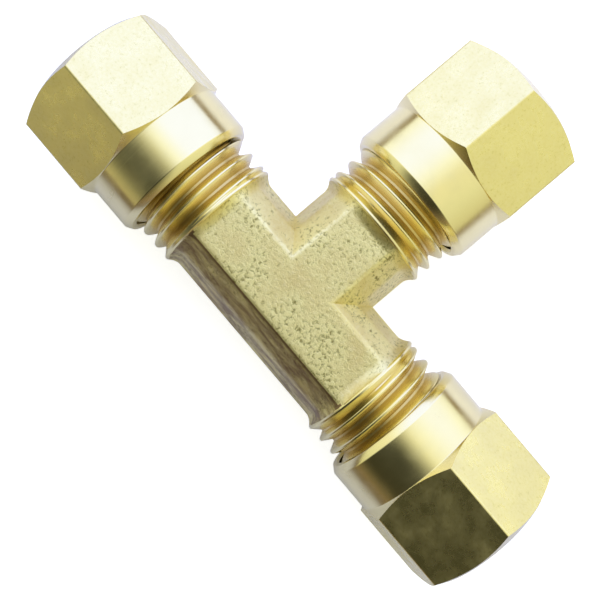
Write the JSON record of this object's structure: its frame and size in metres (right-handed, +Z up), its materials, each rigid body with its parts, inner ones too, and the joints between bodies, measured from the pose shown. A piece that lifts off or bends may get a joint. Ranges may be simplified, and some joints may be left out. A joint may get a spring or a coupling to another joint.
{
  "type": "compression tee fitting",
  "caption": "Brass union tee for small tube: a forged T body with a threaded end on each port, each under a hexagon compression nut with a round collar and a loose ferrule.",
  "frame": {"origin": "the middle of the tee's box on the surface it lies on: the lowest nut corner is at Z = 0", "axes": "+X along the run, +Y the way the branch points, +Z up, square to the plane of the tee"},
  "size_m": [0.055, 0.0352, 0.0162],
  "materials": {
    "forged_brass": "as forged, matt and grainy, with machined threads and bores",
    "machined_brass": "turned from drawn hexagon bar, satin",
    "ferrule_brass": "fine turned, bright"
  },
  "bodies": {
    "tee_body": {"tee_body": "forged_brass"},
    "ferrule_left": {"ferrule_left": "ferrule_brass"},
    "nut_left": {"nut_left": "machined_brass"},
    "ferrule_right": {"ferrule_right": "ferrule_brass"},
    "nut_right": {"nut_right": "machined_brass"},
    "ferrule_branch": {"ferrule_branch": "ferrule_brass"},
    "nut_branch": {"nut_branch": "machined_brass"}
  },
  "joints": [
    {"name": "ferrule_left_slide", "type": "slide", "parent": "tee_body", "child": "ferrule_left", "axis": [-1, 0, 0], "range_m": [-0.00187, 0.0051]},
    {"name": "nut_left_turn", "type": "hinge", "parent": "ferrule_left", "child": "nut_left", "pos_m": [-0.01395, -0.00991, 0.00808], "axis": [-1, 0, 0], "range_deg": [-450.5, 1224.5]},
    {"name": "ferrule_right_slide", "type": "slide", "parent": "tee_body", "child": "ferrule_right", "axis": [1, 0, 0], "range_m": [-0.00187, 0.0051]},
    {"name": "nut_right_turn", "type": "hinge", "parent": "ferrule_right", "child": "nut_right", "pos_m": [0.01395, -0.00991, 0.00808], "axis": [1, 0, 0], "range_deg": [-450.5, 1224.5]},
    {"name": "ferrule_branch_slide", "type": "slide", "parent": "tee_body", "child": "ferrule_branch", "axis": [0, 1, 0], "range_m": [-0.00187, 0.0051]},
    {"name": "nut_branch_turn", "type": "hinge", "parent": "ferrule_branch", "child": "nut_branch", "pos_m": [0, 0.00404, 0.00808], "axis": [0, 1, 0], "range_deg": [-450.5, 1224.5]}
  ],
  "couplings": [
    {"joint": "nut_left_turn", "follows": "ferrule_left_slide", "rad_per_m": 4188.8},
    {"joint": "nut_right_turn", "follows": "ferrule_right_slide", "rad_per_m": 4188.8},
    {"joint": "nut_branch_turn", "follows": "ferrule_branch_slide", "rad_per_m": 4188.8}
  ]
}
